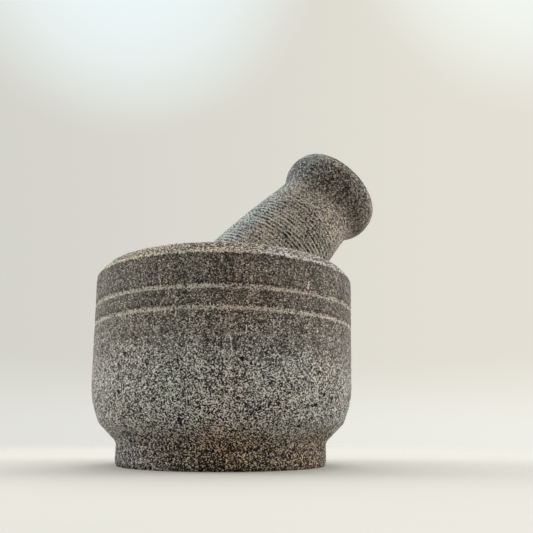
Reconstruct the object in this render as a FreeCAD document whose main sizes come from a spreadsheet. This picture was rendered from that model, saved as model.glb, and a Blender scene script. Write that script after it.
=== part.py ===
import FreeCAD, Part
import math
import os
import Sketcher

# A turned granite mortar with a plain round foot, and its pestle, which leans in the bowl.
# Frame: origin at the centre of the underside, +Z up the mortar's axis, and +X the side of
# the rim on which the pestle rests. Millimetres throughout.

doc = FreeCAD.newDocument("mortar_and_pestle")
sheet = doc.addObject("Spreadsheet::Sheet", "sizes")

SIZES = {
    # Mortar, outside, from the underside up
    "mortar_height": 75.2,
    "body_radius": 49.7,
    "base_edge": 0.8,
    "foot_inset": 9.7,
    "foot_height": 8.6,
    "cove_round": 3.0,
    "ledge_inset": 2.8,
    "ledge_height": 15.5,
    "ledge_round": 4.0,
    "shoulder_height": 24.5,
    "shoulder_round": 28.0,
    "wall_flare": 1.7,
    "bevel_drop": 4.65,
    "bevel_width": 4.5,
    # Mortar, rim and bowl
    "rim_width": 8.0,
    "mouth_round": 2.5,
    "bowl_draft": 1.4,
    "floor_height": 17.5,
    # Mortar, two scribed lines round the wall, measured down from the rim
    "line_drop": 16.5,
    "line_gap": 7.1,
    "line_width": 1.1,
    "line_depth": 0.5,
    # Pestle, along its own axis from the grinding tip; drops are from its crowned end
    "pestle_length": 121.0,
    "head_radius": 22.5,
    "swell_height": 40.0,
    "neck_radius": 18.6,
    "neck_drop": 17.5,
    "neck_round": 20.0,
    "knob_radius": 22.45,
    "knob_drop": 5.5,
    "knob_round": 10.0,
    "end_crown": 0.8,
    "end_round": 1.6,
    # How the pestle rests: its gap to the bowl and the mouth, and how far round the bowl's
    # bottom its head lies, in degrees
    "rest_gap": 0.3,
    "rest_angle": 63.0,
}

for row, (alias, value) in enumerate(SIZES.items(), start=1):
    sheet.set(f"A{row}", alias)
    sheet.set(f"B{row}", str(value))
    sheet.setAlias(f"B{row}", alias)
doc.recompute()

BASE_LINE, TURNING_AXIS = -1, -2
START, END, CENTRE = 1, 2, 3
ORIGIN = (BASE_LINE, START)


class Size:
    """A length that knows both its value and the sheet expression that gives it."""

    def __init__(self, value, text):
        self.value = value
        self.text = text

    def __add__(self, other):
        return Size(self.value + other.value, f"({self.text} + {other.text})")

    def __sub__(self, other):
        return Size(self.value - other.value, f"({self.text} - {other.text})")

    def __mul__(self, other):
        return Size(self.value * other.value, f"({self.text} * {other.text})")

    def __truediv__(self, other):
        return Size(self.value / other.value, f"({self.text} / {other.text})")


def size(alias):
    return Size(float(sheet.get(alias)), f"sizes.{alias}")


ZERO = Size(0.0, "0")


def origin_plane(body, role):
    return next(item for item in body.Origin.OriginFeatures if item.Role == role)


def new_body(label):
    body = doc.addObject("PartDesign::Body", label)
    body.Label = label
    return body


def profile_sketch(body, name):
    """An empty sketch on the body's own XZ plane: sketch x is the radius, y the height."""
    sketch = body.newObject("Sketcher::SketchObject", name)
    sketch.AttachmentSupport = [(origin_plane(body, "XZ_Plane"), "")]
    sketch.MapMode = "FlatFace"
    return sketch


def add_line(sketch, start, end):
    return sketch.addGeometry(Part.LineSegment(FreeCAD.Vector(*start, 0), FreeCAD.Vector(*end, 0)))


def add_arc(sketch, centre, radius, start_degrees, end_degrees):
    circle = Part.Circle(FreeCAD.Vector(*centre, 0), FreeCAD.Vector(0, 0, 1), radius)
    arc = Part.ArcOfCircle(circle, math.radians(start_degrees), math.radians(end_degrees))
    return sketch.addGeometry(arc)


def add_polygon(sketch, corners):
    """A closed chain of lines, with each corner fixed at its radius and height."""
    points = [(radius.value, height.value) for radius, height in corners]
    following = points[1:] + points[:1]
    sides = [add_line(sketch, start, end) for start, end in zip(points, following)]
    for side, after in zip(sides, sides[1:] + sides[:1]):
        join(sketch, side, END, after, START)
    for side, (radius, height) in zip(sides, corners):
        fix_radius_of(sketch, side, START, radius)
        fix_height_of(sketch, side, START, height)


def join(sketch, first, first_end, second, second_end, kind="Coincident"):
    sketch.addConstraint(Sketcher.Constraint(kind, first, first_end, second, second_end))


def bind(sketch, name, constraint, length):
    index = sketch.addConstraint(constraint)
    sketch.renameConstraint(index, name)
    sketch.setExpression(f"Constraints.{name}", length.text)


def fix_radius_of(sketch, geometry, end, radius):
    """Hold a point of the profile at a distance from the turning axis."""
    if radius is ZERO:
        sketch.addConstraint(Sketcher.Constraint("PointOnObject", geometry, end, TURNING_AXIS))
        return
    constraint = Sketcher.Constraint("DistanceX", *ORIGIN, geometry, end, radius.value)
    bind(sketch, f"radius_{geometry}_{end}", constraint, radius)


def fix_height_of(sketch, geometry, end, height):
    """Hold a point of the profile at a height above the body's origin."""
    if height is ZERO:
        sketch.addConstraint(Sketcher.Constraint("PointOnObject", geometry, end, BASE_LINE))
        return
    constraint = Sketcher.Constraint("DistanceY", *ORIGIN, geometry, end, height.value)
    bind(sketch, f"height_{geometry}_{end}", constraint, height)


def fix_curve(sketch, arc, radius):
    bind(sketch, f"curve_{arc}", Sketcher.Constraint("Radius", arc, radius.value), radius)


def turn(body, kind, name, sketch):
    """Turn a closed profile all the way round the body's vertical axis."""
    feature = body.newObject(f"PartDesign::{kind}", name)
    feature.Profile = sketch
    feature.ReferenceAxis = (sketch, ["V_Axis"])
    feature.Angle = 360
    doc.recompute()
    return feature


def ring_edge(shape, radius, height):
    """Name of the circular edge nearest to a radius and a height on the turned shape."""
    def distance(item):
        edge = item[1]
        if edge.Degenerated or not isinstance(edge.Curve, Part.Circle):
            return math.inf
        return math.hypot(edge.Curve.Radius - radius, edge.Curve.Center.z - height)

    number, _ = min(enumerate(shape.Edges, start=1), key=distance)
    return f"Edge{number}"


def round_ring(body, name, radius, height, rounding):
    """Round the circular edge at a given radius and height."""
    base = body.Tip
    fillet = body.newObject("PartDesign::Fillet", name)
    fillet.Base = (base, [ring_edge(base.Shape, radius.value, height.value)])
    fillet.Radius = rounding.value
    fillet.setExpression("Radius", rounding.text)
    doc.recompute()


# Mortar: one block of granite, turned outside, hollowed, and scribed with two lines.
mortar = new_body("mortar")

top = size("mortar_height")
foot_radius = size("body_radius") - size("foot_inset")
ledge_radius = size("body_radius") - size("ledge_inset")
arris_radius = size("body_radius") + size("wall_flare")
arris_height = top - size("bevel_drop")
rim_radius = arris_radius - size("bevel_width")
mouth_radius = rim_radius - size("rim_width")
bowl_radius = mouth_radius - size("bowl_draft")
bowl_centre = size("floor_height") + bowl_radius


def turn_block():
    """Underside, upright foot, cove, ledge, shoulder, wall, and the bevel up to the rim."""
    sketch = profile_sketch(mortar, "BlockProfile")
    add_polygon(sketch, [
        (ZERO, ZERO),
        (foot_radius - size("base_edge"), ZERO),
        (foot_radius, size("base_edge")),
        (foot_radius, size("foot_height")),
        (ledge_radius, size("ledge_height")),
        (size("body_radius"), size("shoulder_height")),
        (arris_radius, arris_height),
        (rim_radius, top),
        (ZERO, top),
    ])
    turn(mortar, "Revolution", "TurnedBlock", sketch)
    round_ring(mortar, "Cove", foot_radius, size("foot_height"), size("cove_round"))
    round_ring(mortar, "Ledge", ledge_radius, size("ledge_height"), size("ledge_round"))
    round_ring(mortar, "Shoulder", size("body_radius"), size("shoulder_height"), size("shoulder_round"))


def wall_draft():
    """How far the bowl's straight wall leans out, in radians: it is a tangent to the hemisphere."""
    rise = (top - bowl_centre).value
    span = math.hypot(rise, mouth_radius.value)
    return math.acos(bowl_radius.value / span) - math.atan2(rise, mouth_radius.value)


def hollow_bowl():
    """A round-bottomed bowl whose wall leaves the hemisphere at a tangent up to the mouth."""
    centre = (0, bowl_centre.value)
    draft = wall_draft()
    wall_foot = (
        bowl_radius.value * math.cos(draft),
        bowl_centre.value - bowl_radius.value * math.sin(draft),
    )
    mouth = (mouth_radius.value, top.value)
    sketch = profile_sketch(mortar, "BowlProfile")
    floor = add_arc(sketch, centre, bowl_radius.value, -90, -math.degrees(draft))
    wall = add_line(sketch, wall_foot, mouth)
    lid = add_line(sketch, mouth, (0, top.value))
    axis = add_line(sketch, (0, top.value), (0, size("floor_height").value))
    join(sketch, floor, END, wall, START, "Tangent")
    join(sketch, wall, END, lid, START)
    join(sketch, lid, END, axis, START)
    join(sketch, axis, END, floor, START)
    fix_radius_of(sketch, floor, CENTRE, ZERO)
    fix_height_of(sketch, floor, CENTRE, bowl_centre)
    fix_curve(sketch, floor, bowl_radius)
    fix_radius_of(sketch, wall, END, mouth_radius)
    fix_height_of(sketch, wall, END, top)
    fix_radius_of(sketch, axis, START, ZERO)
    fix_height_of(sketch, axis, START, top)
    fix_radius_of(sketch, axis, END, ZERO)
    turn(mortar, "Groove", "Bowl", sketch)
    round_ring(mortar, "Mouth", mouth_radius, top, size("mouth_round"))


def scribe_lines():
    """Two V-shaped lines cut round the wall, each to the same depth below the sloping wall."""
    wall_slope = size("wall_flare") / (arris_height - size("shoulder_height"))
    upper = top - size("line_drop")
    sketch = profile_sketch(mortar, "LineProfiles")
    for height in (upper, upper - size("line_gap")):
        wall = size("body_radius") + (height - size("shoulder_height")) * wall_slope
        outside = wall + size("line_depth")
        add_polygon(sketch, [
            (wall - size("line_depth"), height),
            (outside, height - size("line_width")),
            (outside, height + size("line_width")),
        ])
    turn(mortar, "Groove", "ScribedLines", sketch)


turn_block()
block_volume = mortar.Shape.Volume
hollow_bowl()
bowl_volume = mortar.Shape.Volume
scribe_lines()
if not bowl_volume < 0.9 * block_volume:
    raise RuntimeError("the bowl was not hollowed out")
if not mortar.Shape.Volume < bowl_volume - 1:
    raise RuntimeError("the lines were not scribed")


# Pestle: one turned piece, with a rounded grinding head, a swelling shaft, a waisted neck
# and a knob with a crowned end. Its own axis is Z, up from the grinding tip.
pestle = new_body("pestle")

pestle_length = size("pestle_length")
neck_height = pestle_length - size("neck_drop")
knob_height = pestle_length - size("knob_drop")
crown_foot = pestle_length - size("end_crown")


def shaft_curve():
    """Radius of the shaft's long curve, which is tangent to the head's side and to the neck."""
    narrowing = (size("head_radius") - size("neck_radius")).value
    run = (neck_height - size("swell_height")).value
    return (run ** 2 + narrowing ** 2) / (2 * narrowing) - size("neck_round").value


def turn_pestle():
    head, swell = size("head_radius"), size("swell_height")
    neck, neck_round = size("neck_radius"), size("neck_round")
    low_centre = neck + neck_round
    shaft_centre = head.value - shaft_curve()
    run = (neck_height - swell).value
    taper = math.degrees(math.atan2(run, low_centre.value - shaft_centre))

    knob = size("knob_round").value
    knob_centre = size("knob_radius") - size("knob_round")
    rise = (knob_height - neck_height).value
    inset = (neck - knob_centre).value
    waist = (rise ** 2 + inset ** 2 - knob ** 2) / (2 * (knob - inset))
    flare = math.degrees(math.atan2(rise, neck.value + waist - knob_centre.value))

    end_angle = math.asin((crown_foot - knob_height).value / knob)
    end_radius = knob_centre.value + knob * math.cos(end_angle)
    crown = (end_radius ** 2 + size("end_crown").value ** 2) / (2 * size("end_crown").value)
    crown_angle = math.degrees(math.asin(end_radius / crown))

    sketch = profile_sketch(pestle, "PestleProfile")
    tip = add_arc(sketch, (0, head.value), head.value, -90, 0)
    side = add_line(sketch, (head.value, head.value), (head.value, swell.value))
    shaft = add_arc(sketch, (shaft_centre, swell.value), shaft_curve(), 0, taper)
    low_neck = add_arc(sketch, (low_centre.value, neck_height.value), neck_round.value, 180, 180 + taper)
    high_neck = add_arc(sketch, (neck.value + waist, neck_height.value), waist, 180 - flare, 180)
    bulge = add_arc(sketch, (knob_centre.value, knob_height.value), knob, -flare, math.degrees(end_angle))
    dome = add_arc(sketch, (0, pestle_length.value - crown), crown, 90 - crown_angle, 90)
    axis = add_line(sketch, (0, pestle_length.value), (0, 0))

    join(sketch, tip, END, side, START, "Tangent")
    join(sketch, side, END, shaft, START, "Tangent")
    join(sketch, shaft, END, low_neck, END, "Tangent")
    join(sketch, low_neck, START, high_neck, END, "Tangent")
    join(sketch, high_neck, START, bulge, START, "Tangent")
    join(sketch, bulge, END, dome, START)
    join(sketch, dome, END, axis, START)
    join(sketch, axis, END, tip, START)

    fix_radius_of(sketch, axis, END, ZERO)
    fix_height_of(sketch, axis, END, ZERO)
    fix_radius_of(sketch, axis, START, ZERO)
    fix_height_of(sketch, axis, START, pestle_length)
    fix_radius_of(sketch, tip, CENTRE, ZERO)
    fix_height_of(sketch, tip, CENTRE, head)
    sketch.addConstraint(Sketcher.Constraint("Vertical", side))
    fix_height_of(sketch, side, END, swell)
    fix_radius_of(sketch, low_neck, START, neck)
    fix_height_of(sketch, low_neck, START, neck_height)
    fix_radius_of(sketch, low_neck, CENTRE, low_centre)
    fix_height_of(sketch, low_neck, CENTRE, neck_height)
    fix_radius_of(sketch, bulge, CENTRE, knob_centre)
    fix_height_of(sketch, bulge, CENTRE, knob_height)
    fix_curve(sketch, bulge, size("knob_round"))
    fix_height_of(sketch, dome, START, crown_foot)
    fix_radius_of(sketch, dome, CENTRE, ZERO)
    turn(pestle, "Revolution", "TurnedPestle", sketch)
    round_ring(pestle, "EndEdge", size("knob_radius"), crown_foot, size("end_round"))


def resting_place():
    """Where the pestle leans: its head in the bowl, and its shaft on the rounded mouth.

    The head touches the bowl rest_angle round from the floor, on the side away from the rim
    that carries the shaft. The lean is the angle at which the shaft's long curve just clears
    the mouth's rounding. Both contacts keep the named gap. Returns the head's centre in the
    XZ plane and the lean above the horizontal, in radians.
    """
    gap = size("rest_gap").value
    head = size("head_radius").value
    rounding = size("mouth_round").value
    reach = bowl_radius.value - head - gap
    swing = math.radians(size("rest_angle").value)
    head_x = -reach * math.sin(swing)
    head_z = bowl_centre.value - reach * math.cos(swing)

    mouth_x = mouth_radius.value + rounding * math.tan(math.pi / 4 - wall_draft() / 2)
    across = mouth_x - head_x
    up = top.value - rounding - head_z
    span = math.hypot(across, up)
    along = size("swell_height").value - head
    aside = shaft_curve() - head
    apart = shaft_curve() + rounding + gap
    share = (span ** 2 + along ** 2 + aside ** 2 - apart ** 2) / (2 * span * math.hypot(along, aside))
    lean = math.atan2(up, across) - math.atan2(aside, along) + math.acos(share)
    return head_x, head_z, lean


turn_pestle()
head_x, head_z, lean = resting_place()
tilt = FreeCAD.Rotation(FreeCAD.Vector(0, 1, 0), 90 - math.degrees(lean))
head_offset = tilt.multVec(FreeCAD.Vector(0, 0, size("head_radius").value))
pestle.Placement = FreeCAD.Placement(FreeCAD.Vector(head_x, 0, head_z) - head_offset, tilt)
doc.recompute()


for item in doc.Objects:
    faults = {"Invalid", "Error"} & set(item.State)
    if faults:
        raise RuntimeError(f"{item.Name} failed: {', '.join(sorted(faults))}")

for body in (mortar, pestle):
    if body.Shape.isNull() or not body.Shape.isValid():
        raise RuntimeError(f"{body.Label} has no valid shape")

clearance = mortar.Shape.distToShape(pestle.Shape)[0]
print(f"lean {math.degrees(lean):.2f} degrees, clearance {clearance:.3f} mm")

os.makedirs("parts", exist_ok=True)
for body in (mortar, pestle):
    body.Shape.exportStep(f"parts/{body.Label}.step")
    box = body.Shape.BoundBox
    print(f"{body.Label}: {body.Shape.Volume / 1000:.1f} cm3, {box}")
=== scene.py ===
import math
import bpy
from mathutils import Euler, Matrix, Vector


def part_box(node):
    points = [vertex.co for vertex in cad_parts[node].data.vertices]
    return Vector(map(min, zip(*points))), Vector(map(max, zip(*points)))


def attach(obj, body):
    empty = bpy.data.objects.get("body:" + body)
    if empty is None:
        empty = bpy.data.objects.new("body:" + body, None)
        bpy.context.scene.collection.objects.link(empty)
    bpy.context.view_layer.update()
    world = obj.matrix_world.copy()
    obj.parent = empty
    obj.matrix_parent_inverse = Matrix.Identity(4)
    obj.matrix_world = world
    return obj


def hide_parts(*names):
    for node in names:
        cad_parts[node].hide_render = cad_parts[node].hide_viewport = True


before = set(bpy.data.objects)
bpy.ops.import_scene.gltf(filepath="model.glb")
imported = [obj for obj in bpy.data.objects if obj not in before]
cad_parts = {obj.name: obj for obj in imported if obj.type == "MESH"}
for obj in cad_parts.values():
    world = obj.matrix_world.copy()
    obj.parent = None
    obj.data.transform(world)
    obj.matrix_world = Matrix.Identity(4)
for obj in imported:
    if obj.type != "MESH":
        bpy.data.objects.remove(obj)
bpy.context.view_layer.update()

MM = 0.001


# --- Studio ---------------------------------------------------------------------------------
# A round pale table top that fades out at its edge, under a soft sky that lights most strongly
# from behind and above, with one soft box overhead and one to each side. The camera stands low
# and close and looks up.

VIEW_TURN = math.radians(-22.9)
CAMERA_PITCH = math.radians(15.1)
CAMERA_ROLL = math.radians(0.25)
CAMERA_PLACE = Vector((-78.7, -229.8, 13.6)) * MM
LENS = 40.53
SENSOR = 36.0
NEAR_CLIP = 0.01

bpy.context.scene.view_settings.view_transform = "Standard"

bpy.ops.object.select_all(action="DESELECT")
bpy.ops.object.camera_add(location=CAMERA_PLACE)
camera = bpy.context.object
camera.name = "studio_camera"
aim = Euler((math.radians(90) + CAMERA_PITCH, 0, VIEW_TURN)).to_matrix()
camera.rotation_euler = (aim @ Matrix.Rotation(CAMERA_ROLL, 3, "Z")).to_euler()
camera.data.lens = LENS
camera.data.sensor_width = SENSOR
camera.data.clip_start = NEAR_CLIP
bpy.context.scene.camera = camera


class Wiring:
    """Lays shader nodes: each call places its nodes and gives back an output socket."""

    def __init__(self, tree):
        self.tree = tree

    def node(self, kind, inputs, output=0, **settings):
        made = self.tree.nodes.new(kind)
        for name, value in settings.items():
            setattr(made, name, value)
        for socket, value in inputs.items():
            if isinstance(value, bpy.types.NodeSocket):
                self.tree.links.new(value, made.inputs[socket])
            else:
                made.inputs[socket].default_value = value
        return made.outputs[output]

    def maths(self, operation, *values):
        return self.node("ShaderNodeMath", dict(enumerate(values)), operation=operation)

    def add(self, total, value, amount):
        """The total plus the value times the amount."""
        return self.maths("MULTIPLY_ADD", value, amount, total)

    def dot(self, first, second):
        inputs = {0: first, 1: second}
        return self.node("ShaderNodeVectorMath", inputs, "Value", operation="DOT_PRODUCT")

    def fade(self, value, low, high, at_low=0.0, at_high=1.0):
        """Runs smoothly from at_low to at_high as value goes from low to high."""
        inputs = {
            "Value": value, "From Min": low, "From Max": high, "To Min": at_low, "To Max": at_high,
        }
        return self.node("ShaderNodeMapRange", inputs, interpolation_type="SMOOTHSTEP")

    def near(self, value, target, inner, outer):
        """1 where the value is within inner of the target, falling to 0 at outer."""
        gap = self.maths("ABSOLUTE", self.maths("SUBTRACT", value, target))
        return self.fade(gap, inner, outer, 1.0, 0.0)

    def noise(self, vector, scale, detail=2.0, roughness=0.5):
        inputs = {"Vector": vector, "Scale": scale, "Detail": detail, "Roughness": roughness}
        return self.node("ShaderNodeTexNoise", inputs)

    def swing(self, vector, scale, detail=2.0, roughness=0.5):
        """Noise shifted so that it swings about zero."""
        return self.maths("SUBTRACT", self.noise(vector, scale, detail, roughness), 0.5)

    def stretched(self, vector, scale):
        return self.node("ShaderNodeMapping", {"Vector": vector, "Scale": scale})

    def mix(self, factor, first, second, blend="MIX"):
        inputs = {0: factor, 6: first, 7: second}
        return self.node("ShaderNodeMix", inputs, 2, data_type="RGBA", blend_type=blend)

    def ramp(self, value, stops):
        """A colour ramp through (position, colour) stops."""
        made = self.tree.nodes.new("ShaderNodeValToRGB")
        points = made.color_ramp.elements
        while len(points) < len(stops):
            points.new(0.5)
        for point, (position, colour) in zip(points, stops):
            point.position = position
            point.color = (*colour, 1.0)
        self.tree.links.new(value, made.inputs["Fac"])
        return made.outputs["Color"]

    def curve(self, value, stops):
        """A value that follows (position, level) stops."""
        greys = [(position, (level,) * 3) for position, level in stops]
        return self.node("ShaderNodeSeparateColor", {"Color": self.ramp(value, greys)}, "Red")


FLOOR_WHITE = (0.60, 0.585, 0.54)
FLOOR_REACH = 0.34
FLOOR_FADE = 0.07
FLOOR_SEGMENTS = 96

bpy.ops.object.select_all(action="DESELECT")
bpy.ops.mesh.primitive_circle_add(
    vertices=FLOOR_SEGMENTS, radius=FLOOR_REACH, fill_type="NGON", location=(0, 0, 0))
floor = bpy.context.object
floor.name = "studio_floor"
floor_finish = bpy.data.materials.new("pale_table")
floor_finish.use_nodes = True
floor_wiring = Wiring(floor_finish.node_tree)
floor_shader = floor_finish.node_tree.nodes["Principled BSDF"]
floor_shader.inputs["Base Color"].default_value = (*FLOOR_WHITE, 1)
floor_shader.inputs["Roughness"].default_value = 1.0
floor_shader.inputs["Specular IOR Level"].default_value = 0.0
floor_place = floor_wiring.node("ShaderNodeTexCoord", {}, "Object")
floor_distance = floor_wiring.node(
    "ShaderNodeVectorMath", {0: floor_place}, "Value", operation="LENGTH")
floor_cover = floor_wiring.fade(floor_distance, FLOOR_FADE, FLOOR_REACH, 1.0, 0.0)
floor_finish.node_tree.links.new(floor_cover, floor_shader.inputs["Alpha"])
floor.data.materials.append(floor_finish)

SKY_BACK = (1.02, 1.02, 1.0)
SKY_FRONT = (0.42, 0.42, 0.41)
SKY_FADE = (-0.9, 1.0)
BACK_RISE = 0.9
BACKDROP_LEFT = (0.665, 0.655, 0.605)
BACKDROP_RIGHT = (0.775, 0.745, 0.665)
BACKDROP_FADE = (-0.5, 0.5)
HORIZON_LEFT = (0.755, 0.755, 0.71)
HORIZON_RIGHT = (0.865, 0.855, 0.79)
HORIZON_FADE = (0.0, 0.12)
WINDOW_GLOWS = {
    "left": {"turn": 16.0, "colour": (0.845, 0.925, 0.925)},
    "right": {"turn": -31.0, "colour": (0.90, 0.945, 0.89)},
}
GLOW_RISE = math.radians(43)
GLOW_FADE = (0.955, 1.0)

world = bpy.data.worlds.new("studio_sky")
bpy.context.scene.world = world
world.use_nodes = True
sky = Wiring(world.node_tree)
sky_direction = sky.node("ShaderNodeTexCoord", {}, "Generated")
back_way = (-math.sin(VIEW_TURN), math.cos(VIEW_TURN), BACK_RISE)
right_way = (math.cos(VIEW_TURN), math.sin(VIEW_TURN), 0.0)

# What lights the stone: bright behind, dim in front.
backness = sky.fade(sky.dot(sky_direction, back_way), *SKY_FADE)
sky_light = sky.mix(backness, (*SKY_FRONT, 1), (*SKY_BACK, 1))

# What the camera sees: a plain backdrop, paler low down, with two window glows.
rise = sky.node("ShaderNodeSeparateXYZ", {0: sky_direction}, "Z")
rightness = sky.fade(sky.dot(sky_direction, right_way), *BACKDROP_FADE)
high_seen = sky.mix(rightness, (*BACKDROP_LEFT, 1), (*BACKDROP_RIGHT, 1))
low_seen = sky.mix(rightness, (*HORIZON_LEFT, 1), (*HORIZON_RIGHT, 1))
sky_seen = sky.mix(sky.fade(rise, *HORIZON_FADE), low_seen, high_seen)
for glow in WINDOW_GLOWS.values():
    glow_turn = VIEW_TURN + math.radians(glow["turn"])
    glow_way = Vector((-math.sin(glow_turn), math.cos(glow_turn), math.tan(GLOW_RISE)))
    glowing = sky.fade(sky.dot(sky_direction, glow_way.normalized()), *GLOW_FADE)
    sky_seen = sky.mix(glowing, sky_seen, (*glow["colour"], 1))

seen_directly = sky.node("ShaderNodeLightPath", {}, "Is Camera Ray")
sky_colour = sky.mix(seen_directly, sky_light, sky_seen)
world.node_tree.links.new(sky_colour, world.node_tree.nodes["Background"].inputs["Color"])

SOFT_BOXES = {
    "box_above": {
        "place": (0.10, 0.55, 1.30), "size": 0.9, "watts": 5.5, "colour": (0.92, 0.97, 1.0),
    },
    "box_left": {
        "place": (-1.25, 0.20, 0.55), "size": 0.7, "watts": 10.5, "colour": (0.97, 0.99, 1.0),
    },
    "box_right": {
        "place": (1.25, 0.30, 0.50), "size": 0.7, "watts": 10.0, "colour": (1.0, 0.98, 0.95),
    },
}
LIT_POINT = Vector((0.0, 0.0, 0.06))

for box_name, box in SOFT_BOXES.items():
    box_place = Matrix.Rotation(VIEW_TURN, 3, "Z") @ Vector(box["place"])
    facing = (LIT_POINT - box_place).to_track_quat("-Z", "Y").to_euler()
    bpy.ops.object.light_add(type="AREA", location=box_place, rotation=facing)
    soft_box = bpy.context.object
    soft_box.name = box_name
    soft_box.data.size = box["size"]
    soft_box.data.energy = box["watts"]
    soft_box.data.color = box["colour"]


# --- Mortar ---------------------------------------------------------------------------------
# One block of speckled granite, turned on a lathe: an upright foot, a cove and a rounded
# shoulder under a near-straight wall, two lines scribed by hand, and a bevelled rim. The outside
# is honed finer above than below, and the lines, the arris and the edges have chipped.

MORTAR_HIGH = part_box("mortar")[1]
ARRIS_RADIUS = MORTAR_HIGH.x
RIM_HEIGHT = MORTAR_HIGH.z
FOOT_RADIUS = ARRIS_RADIUS - 11.4 * MM
FOOT_HEIGHT = 8.6 * MM
BASE_EDGE = 0.8 * MM
BASE_ROUND = 0.3 * MM
COVE_ROUND = 3 * MM
LEDGE = (ARRIS_RADIUS - 4.5 * MM, 15.5 * MM)
LEDGE_ROUND = 4 * MM
SHOULDER = (ARRIS_RADIUS - 1.2 * MM, 24.5 * MM)
SHOULDER_ROUND = 28 * MM
ARRIS_HEIGHT = RIM_HEIGHT - 4.65 * MM
ARRIS_ROUND = 0.35 * MM
RIM_RADIUS = ARRIS_RADIUS - 4.5 * MM
RIM_ROUND = 0.8 * MM
MOUTH_RADIUS = RIM_RADIUS - 8.0 * MM
MOUTH_ROUND = 2.5 * MM
BOWL_RADIUS = MOUTH_RADIUS - 1.4 * MM
BOWL_FLOOR = 17.5 * MM
LINE_HEIGHTS = (RIM_HEIGHT - 23.6 * MM, RIM_HEIGHT - 16.5 * MM)
LINE_DEPTH = 0.55 * MM
LINE_HALF_WIDTH = 0.65 * MM
MORTAR_SEGMENTS = 420
SHORTEST_RUN = 0.01 * MM
WELD_DISTANCE = 0.005 * MM


def wall_radius(height):
    """The near-straight wall's radius, between the shoulder and the arris."""
    share = (height - SHOULDER[1]) / (ARRIS_HEIGHT - SHOULDER[1])
    return SHOULDER[0] + share * (ARRIS_RADIUS - SHOULDER[0])


def stations(start, end, spacing):
    """Evenly spaced rings after start, up to and including end."""
    if (end - start).length < SHORTEST_RUN:
        return []
    steps = max(1, math.ceil((end - start).length / spacing))
    return [start.lerp(end, step / steps) for step in range(1, steps + 1)]


def rounded(corners):
    """Rings of a turned outline. A corner is (radius, height, rounding, spacing of the rings)."""
    rings = [Vector(corners[0][:2])]
    for before, corner, after in zip(corners, corners[1:], corners[2:]):
        point = Vector(corner[:2])
        back = (Vector(before[:2]) - point).normalized()
        ahead = (Vector(after[:2]) - point).normalized()
        half = back.angle(ahead) / 2
        rounding = corner[2]
        if rounding == 0:
            rings += stations(rings[-1], point, before[3])
            continue
        start = point + back * rounding / math.tan(half)
        centre = point + (back + ahead).normalized() * rounding / math.sin(half)
        turn = math.pi - 2 * half
        side = math.copysign(1, back.cross(ahead))
        steps = max(2, math.ceil(rounding * turn / corner[3]))
        rings += stations(rings[-1], start, before[3])
        for step in range(1, steps + 1):
            spoke = Matrix.Rotation(-side * turn * step / steps, 2) @ (start - centre)
            rings.append(centre + spoke)
    rings += stations(rings[-1], Vector(corners[-1][:2]), corners[-2][3])
    return rings


def turned_piece(name, rings, segments):
    """Draw the outline point by point from the axis, then spin it round the axis."""
    bpy.ops.object.select_all(action="DESELECT")
    bpy.ops.mesh.primitive_plane_add(size=1 * MM, location=(0, 0, 0))
    piece = bpy.context.object
    piece.name = name
    bpy.ops.object.mode_set(mode="EDIT")
    bpy.ops.mesh.select_mode(type="VERT")
    bpy.ops.mesh.select_all(action="SELECT")
    bpy.ops.mesh.merge(type="CENTER")
    for here, ahead in zip(rings, rings[1:]):
        move = ahead - here
        bpy.ops.mesh.extrude_vertices_move(
            TRANSFORM_OT_translate={"value": (move.x, 0, move.y)})
    bpy.ops.mesh.select_all(action="SELECT")
    bpy.ops.mesh.spin(steps=segments, angle=math.tau, center=(0, 0, 0), axis=(0, 0, 1))
    bpy.ops.mesh.select_all(action="SELECT")
    bpy.ops.mesh.remove_doubles(threshold=WELD_DISTANCE)
    bpy.ops.mesh.normals_make_consistent(inside=False)
    bpy.ops.object.mode_set(mode="OBJECT")
    bpy.ops.object.shade_smooth()
    return piece


def roughen(piece, name, grain, depth, middle=0.5, group=""):
    """Push the surface in and out by a cloudy relief, all over or in one vertex group."""
    relief = bpy.data.textures.new(name, "CLOUDS")
    relief.noise_scale = grain
    bpy.context.view_layer.objects.active = piece
    bpy.ops.object.modifier_add(type="DISPLACE")
    push = piece.modifiers[-1]
    push.texture = relief
    push.texture_coords = "LOCAL"
    push.strength = depth
    push.mid_level = middle
    push.vertex_group = group
    bpy.ops.object.modifier_apply(modifier=push.name)


def mark(piece, name, weight_at):
    """A vertex group whose weights are worked out from where each point is."""
    group = piece.vertex_groups.new(name=name)
    for point in piece.data.vertices:
        weight = weight_at(point.co)
        if weight > 0:
            group.add([point.index], weight, "REPLACE")
    return group.name


def line_corners(height):
    """The V of one scribed line, from its lower lip to its upper lip."""
    low, high = height - LINE_HALF_WIDTH, height + LINE_HALF_WIDTH
    return [
        (wall_radius(low), low, 0, 0.33 * MM),
        (wall_radius(height) - LINE_DEPTH, height, 0, 0.33 * MM),
        (wall_radius(high), high, 0, 0.7 * MM),
    ]


# The bowl's wall runs from the mouth to where it meets the round bottom at a tangent.
bowl_rise = RIM_HEIGHT - BOWL_FLOOR - BOWL_RADIUS
bowl_reach = math.hypot(bowl_rise, MOUTH_RADIUS)
bowl_lean = math.acos(BOWL_RADIUS / bowl_reach) - math.atan2(bowl_rise, MOUTH_RADIUS)
bowl_corner = MOUTH_RADIUS - (RIM_HEIGHT - BOWL_FLOOR) * math.tan(bowl_lean)

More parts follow.
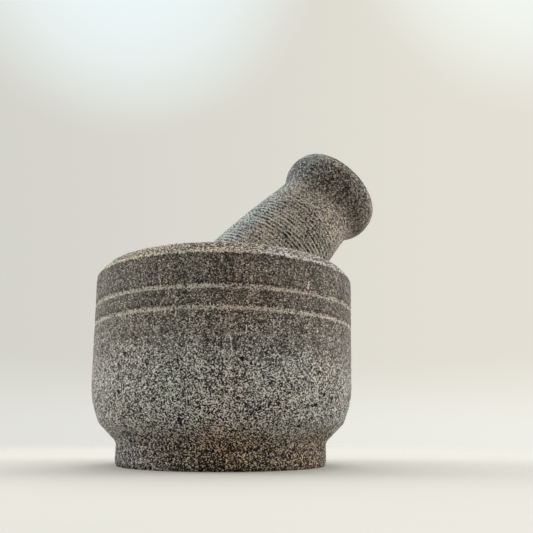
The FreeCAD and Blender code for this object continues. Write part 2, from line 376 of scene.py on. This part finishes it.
mortar_rings = rounded([
    (0, 0, 0, 3.5 * MM),
    (FOOT_RADIUS - BASE_EDGE, 0, 0, 0.5 * MM),
    (FOOT_RADIUS, BASE_EDGE, BASE_ROUND, 0.75 * MM),
    (FOOT_RADIUS, FOOT_HEIGHT, COVE_ROUND, 0.7 * MM),
    (*LEDGE, LEDGE_ROUND, 0.7 * MM),
    (*SHOULDER, SHOULDER_ROUND, 0.75 * MM),
    *line_corners(LINE_HEIGHTS[0]),
    *line_corners(LINE_HEIGHTS[1]),
    (ARRIS_RADIUS, ARRIS_HEIGHT, ARRIS_ROUND, 0.5 * MM),
    (RIM_RADIUS, RIM_HEIGHT, RIM_ROUND, 0.7 * MM),
    (MOUTH_RADIUS, RIM_HEIGHT, MOUTH_ROUND, 1.2 * MM),
    (bowl_corner, BOWL_FLOOR, BOWL_RADIUS, 1.5 * MM),
    (0, BOWL_FLOOR, 0, 1.5 * MM),
])
mortar = turned_piece("mortar_stone", mortar_rings, MORTAR_SEGMENTS)

EDGE_PLACES = (
    (FOOT_RADIUS, BASE_EDGE),
    (ARRIS_RADIUS, ARRIS_HEIGHT),
    (RIM_RADIUS, RIM_HEIGHT),
)
EDGE_REACH = 1.2 * MM
LINE_REACH = 0.9 * MM


def near_edge(point):
    """1 on an exposed edge, falling to 0 at EDGE_REACH from it."""
    radius = math.hypot(point.x, point.y)
    nearest = min(math.hypot(radius - edge[0], point.z - edge[1]) for edge in EDGE_PLACES)
    return max(0.0, 1.0 - nearest / EDGE_REACH)


def near_line(point):
    """1 within 0.6 of LINE_REACH of a scribed line, falling to 0 at 1.6 of it; 0 in the bowl."""
    if math.hypot(point.x, point.y) < FOOT_RADIUS:
        return 0.0
    nearest = min(abs(point.z - height) for height in LINE_HEIGHTS)
    return max(0.0, min(1.0, 1.6 - nearest / LINE_REACH))


def on_outside(point):
    """1 on the turned outside and the rim, 0 in the bowl and under the foot."""
    radius = math.hypot(point.x, point.y)
    return 1.0 if radius > FOOT_RADIUS - 0.5 * MM and point.z > 0.3 * MM else 0.0


roughen(mortar, "hand_wobble", 14 * MM, 0.22 * MM)
roughen(mortar, "stone_grain", 1.2 * MM, 0.34 * MM, 0.6, mark(mortar, "outside", on_outside))
roughen(mortar, "edge_chips", 1.1 * MM, 0.8 * MM, 0.85, mark(mortar, "edges", near_edge))
roughen(mortar, "line_chips", 1.1 * MM, 0.9 * MM, 0.6, mark(mortar, "lines", near_line))

GRAIN_SCALE = 2900.0
FINE_SHARE = 0.85
MEDIUM_SHARE = 0.25
CRYSTAL_WEIGHT = 0.40
FINE_WEIGHT = 0.60
MEDIUM_WEIGHT = 0.16
PATCH_SCALE = 42.0
GRAIN_COLOURS = [
    (0.00, (0.005, 0.004, 0.004)),
    (0.25, (0.038, 0.032, 0.027)),
    (0.50, (0.130, 0.116, 0.099)),
    (0.72, (0.300, 0.282, 0.252)),
    (1.00, (0.760, 0.730, 0.660)),
]
PATCH_TINTS = [
    (0.32, (1.06, 0.98, 0.96)),
    (0.50, (1.0, 1.0, 1.0)),
    (0.68, (0.96, 1.0, 1.0)),
]

# Granite: crystals and grit, spread about a lightness by a contrast, then coloured.
stone = bpy.data.node_groups.new("granite", "ShaderNodeTree")
for socket_name, way, socket_type in (
    ("Vector", "INPUT", "NodeSocketVector"),
    ("Grain Scale", "INPUT", "NodeSocketFloat"),
    ("Contrast", "INPUT", "NodeSocketFloat"),
    ("Lightness", "INPUT", "NodeSocketFloat"),
    ("Color", "OUTPUT", "NodeSocketColor"),
    ("Height", "OUTPUT", "NodeSocketFloat"),
):
    stone.interface.new_socket(socket_name, in_out=way, socket_type=socket_type)
grit = Wiring(stone)
given = stone.nodes.new("NodeGroupInput").outputs
crystal = grit.node(
    "ShaderNodeTexVoronoi", {"Vector": given["Vector"], "Scale": given["Grain Scale"]}, "Color")
crystal_tone = grit.node("ShaderNodeSeparateColor", {"Color": crystal}, "Red")
fine_scale = grit.maths("MULTIPLY", given["Grain Scale"], FINE_SHARE)
fine = grit.noise(given["Vector"], fine_scale, 2.0, 0.6)
medium_scale = grit.maths("MULTIPLY", given["Grain Scale"], MEDIUM_SHARE)
medium = grit.swing(given["Vector"], medium_scale)
blend_tone = grit.add(grit.maths("MULTIPLY", fine, FINE_WEIGHT), crystal_tone, CRYSTAL_WEIGHT)
blend_tone = grit.add(blend_tone, medium, MEDIUM_WEIGHT)
centred = grit.maths("SUBTRACT", blend_tone, 0.5)
spread = grit.add(given["Lightness"], centred, given["Contrast"])
grain_colour = grit.ramp(spread, GRAIN_COLOURS)
patch_tint = grit.ramp(grit.noise(given["Vector"], PATCH_SCALE), PATCH_TINTS)
leaving = stone.nodes.new("NodeGroupOutput").inputs
stone.links.new(grit.mix(1.0, grain_colour, patch_tint, "MULTIPLY"), leaving["Color"])
stone.links.new(grit.add(grit.maths("MULTIPLY", spread, 0.5), fine, 0.5), leaving["Height"])

STONE_SHINE = 0.18
BUMP_STRENGTH = 0.7
BUMP_DISTANCE = 0.35 * MM


def stone_finish(name, wiring_of):
    """A granite material: wiring_of lays its nodes and gives colour, height and roughness."""
    finish = bpy.data.materials.new(name)
    finish.use_nodes = True
    tree = finish.node_tree
    shader = tree.nodes["Principled BSDF"]
    shader.inputs["Specular IOR Level"].default_value = STONE_SHINE
    wires = Wiring(tree)
    colour, height, roughness = wiring_of(wires)
    normal = wires.node(
        "ShaderNodeBump",
        {"Strength": BUMP_STRENGTH, "Distance": BUMP_DISTANCE, "Height": height}, "Normal")
    tree.links.new(normal, shader.inputs["Normal"])
    tree.links.new(colour, shader.inputs["Base Color"])
    tree.links.new(roughness, shader.inputs["Roughness"])
    return finish


def granite(wires, vector, contrast, lightness):
    """Put the granite group in a material and give its colour, its height and a roughness."""
    inputs = {
        "Vector": vector, "Grain Scale": GRAIN_SCALE, "Contrast": contrast, "Lightness": lightness,
    }
    colour = wires.node("ShaderNodeGroup", inputs, "Color", node_tree=stone)
    height = colour.node.outputs["Height"]
    return colour, height, wires.fade(height, 0.3, 0.8, 0.62, 0.9)


TICK_STRETCH = (1, 1, 0.3)
STREAK_STRETCH = (1, 1, 0.06)
TURNING_STRETCH = (0.07, 0.07, 1)
ZONE_WANDER = 9 * MM
EDGE_JITTER = 3.0 * MM
# Lightness up the wall by height: the upper band is honed darker, and the lowest stops are painted
# shade, darkening the foot and a thin line along the base edge where it meets the table.
WALL_TONE_AND_FOOT_SHADE = [
    (0.00, 0.02),
    (0.015, 0.04),
    (0.10, 0.06),
    (0.18, 0.47),
    (0.30, 0.56),
    (0.46, 0.555),
    (0.56, 0.48),
    (0.66, 0.445),
    (0.74, 0.395),
    (0.90, 0.39),
]
STREAK_STRENGTH = 0.42
TURNING_STRENGTH = 0.22
# Painted shade above the scribed lines and below the arris.
SHADE_SEAM_OFFSET = 1.25 * MM
SHADE_SEAM_STRENGTH = -0.10
WORN_LIFT = 0.62
WORN_CONTRAST = 4.2
WORN_PITTING = 3.0
BEVEL_PITTING = 4.4
# Bevel lift: paler stone plus painted light on the upward-facing bevel.
BEVEL_LIFT_AND_TOP_LIGHT = 0.13
INSIDE_LIFT = 0.03
TORN_STRENGTH = -0.9
NICK_STRENGTH = 0.6
BAND_TINT = (1.05, 0.98, 0.91, 1)
# Rim colours: a warm tint at the left, a painted cool sky reflection at the right.
RIM_TINT_LEFT = (1.01, 0.99, 0.92, 1)
RIM_SKY_REFLECTION_RIGHT = (0.94, 1.01, 1.09, 1)
LINE_TINT = (1.0, 1.02, 1.02, 1)
EARTH_TINT = (1.04, 0.84, 0.64, 1)
EARTH_STRENGTH = 0.9


def mortar_wiring(wires):
    place = wires.node("ShaderNodeTexCoord", {}, "Object")
    across = wires.node("ShaderNodeSeparateXYZ", {0: place}, "X")
    deep, up = across.node.outputs["Y"], across.node.outputs["Z"]
    square = wires.maths(
        "ADD", wires.maths("MULTIPLY", across, across), wires.maths("MULTIPLY", deep, deep))
    radius = wires.maths("POWER", square, 0.5)
    outside = wires.fade(radius, FOOT_RADIUS - 1.0 * MM, FOOT_RADIUS - 0.6 * MM)

    # Heights wander, so that the zones and the lines aren't ruled straight.
    tick_place = wires.stretched(place, TICK_STRETCH)
    zone_height = wires.add(up, wires.swing(place, 70.0, 3.0, 0.6), ZONE_WANDER)
    edge_height = wires.add(up, wires.swing(tick_place, 1900.0, 2.0, 0.7), EDGE_JITTER)
    zone = wires.maths("DIVIDE", zone_height, RIM_HEIGHT)
    # Painted shade: this curve darkens the foot and the base edge.
    lightness = wires.curve(zone, WALL_TONE_AND_FOOT_SHADE)

    # Streaks run down the wall where it was rubbed, and faint turning marks run round it.
    streaks = wires.swing(wires.stretched(place, STREAK_STRETCH), 520.0, 3.0, 0.6)
    turning = wires.swing(wires.stretched(place, TURNING_STRETCH), 420.0)
    lightness = wires.add(lightness, streaks, STREAK_STRENGTH)
    lightness = wires.add(lightness, turning, TURNING_STRENGTH)
    contrast = wires.fade(zone, 0.36, 0.56, 3.7, 2.2)
    contrast = wires.maths("ADD", contrast, wires.fade(zone, 0.08, 0.32, 2.2, 0.0))

    # Painted shade: a dark seam is painted above each line and below the arris, where their lips
    # cast shade.
    shade_seams = [
        wires.near(edge_height, height + SHADE_SEAM_OFFSET, 0.25 * MM, 0.6 * MM)
        for height in (*LINE_HEIGHTS, ARRIS_HEIGHT - 1.9 * MM)
    ]
    shade_seam = wires.maths("MAXIMUM", wires.maths("MAXIMUM", shade_seams[0], shade_seams[1]), shade_seams[2])
    lightness = wires.add(lightness, shade_seam, SHADE_SEAM_STRENGTH)

    # The lines and the arris are worn pale and ragged.
    arris = wires.near(edge_height, ARRIS_HEIGHT + 0.1 * MM, 0.35 * MM, 0.75 * MM)
    lines = wires.maths("MAXIMUM", *(
        wires.near(edge_height, height, 0.40 * MM, 0.85 * MM) for height in LINE_HEIGHTS))
    worn = wires.maths("MULTIPLY", wires.maths("MAXIMUM", arris, lines), outside)
    lightness = wires.add(lightness, worn, WORN_LIFT)
    contrast = wires.maths("MAXIMUM", contrast, wires.maths("MULTIPLY", worn, WORN_CONTRAST))

    # The bevel and the rim were left off the tool, pitted more coarsely than the wall. The bevel
    # is painted paler, partly its own paler stone and partly painted light where it faces up to
    # the sky.
    bevel = wires.fade(edge_height, ARRIS_HEIGHT - 0.2 * MM, ARRIS_HEIGHT + 0.5 * MM)
    pits = wires.swing(place, 1300.0, 2.0, 0.7)
    pitted = wires.add(BEVEL_LIFT_AND_TOP_LIGHT, pits, BEVEL_PITTING)
    lightness = wires.add(lightness, wires.maths("MULTIPLY", bevel, outside), pitted)
    lightness = wires.add(lightness, worn, wires.maths("MULTIPLY", pits, WORN_PITTING))
    inside = wires.maths("SUBTRACT", 1.0, outside)
    lightness = wires.maths("ADD", lightness, wires.maths("MULTIPLY", inside, INSIDE_LIFT))

    # A few grains were torn out lower down, where the wall was never honed, and a few pale
    # nicks are scattered all over.
    torn = wires.fade(wires.noise(place, 300.0, 2.0, 0.6), 0.655, 0.70)
    torn = wires.maths("MULTIPLY", torn, wires.fade(zone, 0.50, 0.60, 1.0, 0.0))
    nicks = wires.fade(wires.noise(tick_place, 480.0, 2.0, 0.6), 0.70, 0.74)
    lightness = wires.add(lightness, torn, TORN_STRENGTH)
    lightness = wires.add(lightness, nicks, NICK_STRENGTH)

    # The band is warm and the foot earthy. The rim is tinted warm at the left and carries a
    # painted cool sky reflection at the right.
    colour, height, roughness = granite(wires, place, contrast, lightness)
    colour = wires.mix(wires.fade(zone, 0.45, 0.75), colour, BAND_TINT, "MULTIPLY")
    rim_tint_and_sky_reflection = wires.mix(
        wires.fade(across, -11 * MM, 3 * MM), RIM_TINT_LEFT, RIM_SKY_REFLECTION_RIGHT)
    colour = wires.mix(wires.maths("MAXIMUM", bevel, arris), colour, rim_tint_and_sky_reflection, "MULTIPLY")
    colour = wires.mix(lines, colour, LINE_TINT, "MULTIPLY")
    earth_low = wires.fade(zone_height, 7 * MM, 16 * MM, 1.0, 0.0)
    earth = wires.maths("MULTIPLY", earth_low, wires.fade(across, -38 * MM, -14 * MM))
    earth = wires.maths("MULTIPLY", earth, EARTH_STRENGTH)
    colour = wires.mix(earth, colour, EARTH_TINT, "MULTIPLY")
    return colour, height, roughness


mortar.data.materials.append(stone_finish("mortar_granite", mortar_wiring))
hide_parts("mortar")
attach(mortar, "mortar")


# --- Pestle ---------------------------------------------------------------------------------
# One turned piece of the same granite, with a rounded grinding head, a shaft left with its
# tool's rings, a waisted neck that is honed smoother, and a flared knob with a crowned end.

PESTLE_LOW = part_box("pestle")[0]
PESTLE_LEAN = math.radians(47.85)
PESTLE_LENGTH = 121.0 * MM
HEAD_RADIUS = 22.5 * MM
SWELL_HEIGHT = 40.0 * MM
SHAFT_CURVE = 499 * MM
SHAFT_TAPER = math.radians(7.03)
NECK_RADIUS = 18.6 * MM
NECK_HEIGHT = PESTLE_LENGTH - 17.5 * MM
NECK_FLARE = math.radians(35.6)
LOWER_NECK_ROUND = 20 * MM
UPPER_NECK_ROUND = 10.6 * MM
KNOB_RADIUS = 22.45 * MM
KNOB_HEIGHT = PESTLE_LENGTH - 5.5 * MM
KNOB_REACH = 10 * MM
KNOB_LOWER_ROUND = 9.9 * MM
KNOB_UPPER_ROUND = 9 * MM
END_RADIUS = 21.3 * MM
END_CROWN = 0.8 * MM
END_ROUND = 1.6 * MM
RING_PITCH = 1.75 * MM
RING_DEPTH = 0.28 * MM
RINGS_START = 30 * MM
RINGS_END = PESTLE_LENGTH - 24 * MM
PESTLE_SEGMENTS = 220

swell_corner = SWELL_HEIGHT + SHAFT_CURVE * math.tan(SHAFT_TAPER / 2)
lower_neck = NECK_HEIGHT - LOWER_NECK_ROUND * math.tan(SHAFT_TAPER / 2)
upper_neck = NECK_HEIGHT + UPPER_NECK_ROUND * math.tan(NECK_FLARE / 2)
knob_corner = KNOB_HEIGHT - KNOB_REACH * math.tan(NECK_FLARE / 2)

pestle_rings = rounded([
    (0, 0, 0, 1.5 * MM),
    (HEAD_RADIUS, 0, HEAD_RADIUS, 1.0 * MM),
    (HEAD_RADIUS, swell_corner, SHAFT_CURVE, 0.35 * MM),
    (NECK_RADIUS, lower_neck, LOWER_NECK_ROUND, 0.4 * MM),
    (NECK_RADIUS, upper_neck, UPPER_NECK_ROUND, 0.5 * MM),
    (KNOB_RADIUS, knob_corner, KNOB_LOWER_ROUND, 0.5 * MM),
    (KNOB_RADIUS - 0.05 * MM, KNOB_HEIGHT + 2.4 * MM, KNOB_UPPER_ROUND, 0.5 * MM),
    (END_RADIUS, PESTLE_LENGTH - END_CROWN, END_ROUND, 0.5 * MM),
    (0, PESTLE_LENGTH, 0, 1.2 * MM),
])


def cut_rings(rings):
    """The tool's rings: shallow waves along the shaft that die out at the head and the neck."""
    waved = []
    for ring in rings:
        low = min(1.0, max(0.0, (ring.y - RINGS_START) / (8 * MM)))
        high = min(1.0, max(0.0, (RINGS_END - ring.y) / (10 * MM)))
        wave = math.sin(math.tau * ring.y / RING_PITCH) * RING_DEPTH * low * high
        waved.append(Vector((ring.x + wave - RING_DEPTH * low * high, ring.y)))
    return waved


pestle = turned_piece("pestle_stone", cut_rings(pestle_rings), PESTLE_SEGMENTS)
roughen(pestle, "pestle_wobble", 11 * MM, 0.2 * MM, 0.6)
roughen(pestle, "pestle_grain", 1.2 * MM, 0.34 * MM, 0.65)

head_centre = Vector((PESTLE_LOW.x + HEAD_RADIUS, 0, PESTLE_LOW.z + HEAD_RADIUS))
pestle_tilt = math.radians(90) - PESTLE_LEAN
pestle_tip = head_centre - Matrix.Rotation(pestle_tilt, 3, "Y") @ Vector((0, 0, HEAD_RADIUS))
bpy.ops.object.select_all(action="DESELECT")
pestle.select_set(True)
bpy.context.view_layer.objects.active = pestle
pestle.location = pestle_tip
pestle.rotation_euler = (0, pestle_tilt, 0)
bpy.ops.object.transform_apply(location=True, rotation=True, scale=True)

PESTLE_WANDER = 8 * MM
# Lightness along the pestle. The dip below the knob's rim is painted shade on the flared
# underside, which faces down.
PESTLE_TONE_AND_KNOB_SHADE = [
    (0.00, 0.62),
    (0.30, 0.62),
    (0.55, 0.62),
    (0.80, 0.57),
    (0.89, 0.31),
    (0.95, 0.31),
    (0.980, 0.54),
]
RING_STRETCH = (0.12, 0.12, 1)
RING_TONE = 1.2
# Strength of the painted shade and highlight on the cut rings.
RING_SHADE_WAVE = 0.55
RING_WANDER = 3.0
SHAFT_PITTING = 2.4
SHAFT_LIFT = 0.14
# Painted light on the pestle: a cool sky reflection on top, a warm bounce from the table
# underneath.
UPPER_SKY_REFLECTION_TINT = (0.93, 1.01, 1.07, 1)
LOWER_BOUNCE_LIGHT_TINT = (1.05, 0.98, 0.90, 1)


def pestle_wiring(wires):
    # The stone is laid along the pestle's own axis, from its tip.
    place = wires.node("ShaderNodeTexCoord", {}, "Object")
    along = wires.node(
        "ShaderNodeMapping",
        {"Vector": place, "Location": pestle_tip, "Rotation": (0, pestle_tilt, 0)},
        vector_type="TEXTURE")
    sideways = wires.node("ShaderNodeSeparateXYZ", {0: along}, "X")
    height_on = sideways.node.outputs["Z"]
    wander = wires.swing(along, 90.0, 3.0, 0.6)
    zone = wires.maths("DIVIDE", wires.add(height_on, wander, PESTLE_WANDER), PESTLE_LENGTH)
    # Painted shade: this curve darkens the underside of the knob.
    lightness = wires.curve(zone, PESTLE_TONE_AND_KNOB_SHADE)

    # The tool's rings show on the shaft in patches, and fade out at the head and the neck.
    on_shaft = wires.fade(zone, 0.60, 0.80, 1.0, 0.12)
    on_shaft = wires.maths("MULTIPLY", on_shaft, wires.fade(height_on, 26 * MM, 40 * MM))
    patchy = wires.fade(wires.noise(along, 70.0), 0.34, 0.60, 0.3, 1.0)
    on_shaft = wires.maths("MULTIPLY", on_shaft, patchy)
    ringing = wires.swing(wires.stretched(along, RING_STRETCH), 620.0, 1.0, 0.5)
    ring_tone = wires.maths("MULTIPLY", ringing, on_shaft)
    lightness = wires.add(lightness, ring_tone, RING_TONE)
    # Painted shade and highlight: a wave at the rings' own pitch darkens their valleys and
    # lightens their crests.
    phase = wires.add(
        wires.maths("MULTIPLY", wander, RING_WANDER), height_on, math.tau / RING_PITCH)
    ring_shade_wave = wires.maths("MULTIPLY", wires.maths("SINE", phase), on_shaft)
    lightness = wires.add(lightness, ring_shade_wave, RING_SHADE_WAVE)

    # The shaft is pitted too. The pestle is painted cooler on top, a painted sky reflection, and
    # warmer underneath, painted bounce light from the table.
    pits = wires.swing(along, 1200.0, 2.0, 0.7)
    lightness = wires.add(lightness, on_shaft, wires.add(SHAFT_LIFT, pits, SHAFT_PITTING))
    contrast = wires.fade(zone, 0.72, 0.85, 4.4, 3.2)
    colour, height, roughness = granite(wires, along, contrast, lightness)
    painted_sky_and_bounce_tint = wires.mix(
        wires.fade(sideways, -20 * MM, -11 * MM), UPPER_SKY_REFLECTION_TINT, LOWER_BOUNCE_LIGHT_TINT)
    return wires.mix(1.0, colour, painted_sky_and_bounce_tint, "MULTIPLY"), height, roughness


pestle.data.materials.append(stone_finish("pestle_granite", pestle_wiring))
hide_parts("pestle")
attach(pestle, "pestle")
